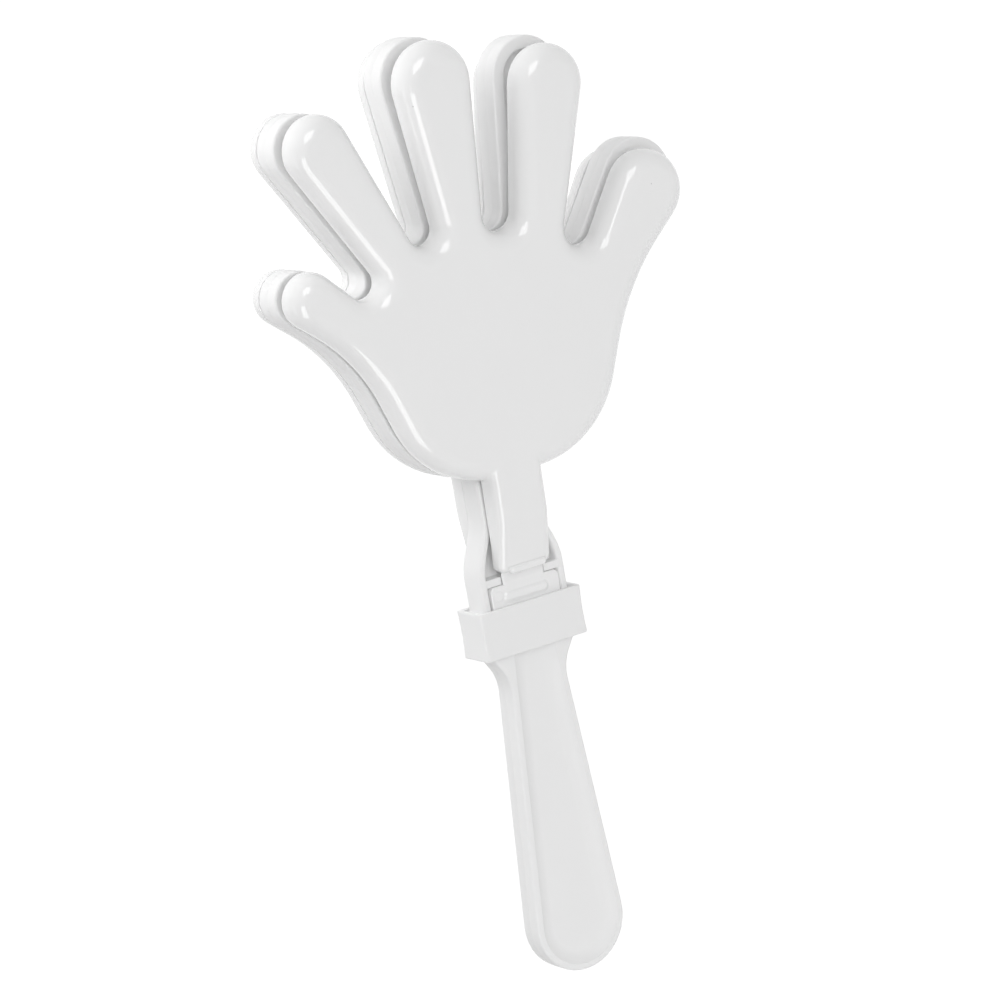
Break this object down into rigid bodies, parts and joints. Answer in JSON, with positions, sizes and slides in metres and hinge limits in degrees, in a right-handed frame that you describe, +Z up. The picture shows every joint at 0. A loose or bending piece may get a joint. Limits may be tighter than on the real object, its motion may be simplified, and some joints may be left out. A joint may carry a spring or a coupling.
{
  "type": "hand clapper",
  "caption": "Plastic noise maker: a centre hand on a flat handle, with hollow outer hands that swing on living hinges and clap against it; a sliding collar locks the hinge tabs.",
  "frame": {"origin": "middle of the grip, where a fist holds it, in the middle of its thickness", "axes": "+Z up the handle to the fingertips, -Y the front that the picture shows, +X the little finger side"},
  "size_m": [0.1367, 0.0301, 0.2793],
  "materials": {
    "handle_plastic": "white injection moulded, satin gloss",
    "collar_plastic": "white injection moulded, satin gloss",
    "clapper_plastic": "white injection moulded, glossy"
  },
  "bodies": {
    "handle": {"handle_with_centre_hand": "handle_plastic", "front_locking_tab": "clapper_plastic", "rear_locking_tab": "clapper_plastic", "front_hinge_strap": "clapper_plastic", "rear_hinge_strap": "clapper_plastic"},
    "collar": {"locking_collar": "collar_plastic"},
    "front_clapper": {"front_hand": "clapper_plastic"},
    "rear_clapper": {"rear_hand": "clapper_plastic"}
  },
  "joints": [
    {"name": "front_hinge", "type": "hinge", "parent": "handle", "child": "front_clapper", "pos_m": [0, -0.0046, 0.07345], "axis": [1, 0, 0], "range_deg": [-2, 43], "stiffness_Nm_per_rad": 0.1, "deforming": ["front_hinge_strap"]},
    {"name": "rear_hinge", "type": "hinge", "parent": "handle", "child": "rear_clapper", "pos_m": [0, 0.0046, 0.07345], "axis": [-1, 0, 0], "range_deg": [0, 45], "stiffness_Nm_per_rad": 0.1, "deforming": ["rear_hinge_strap"]},
    {"name": "collar_slide", "type": "slide", "parent": "handle", "child": "collar", "axis": [0, 0, -1], "range_m": [0, 0.055]}
  ]
}
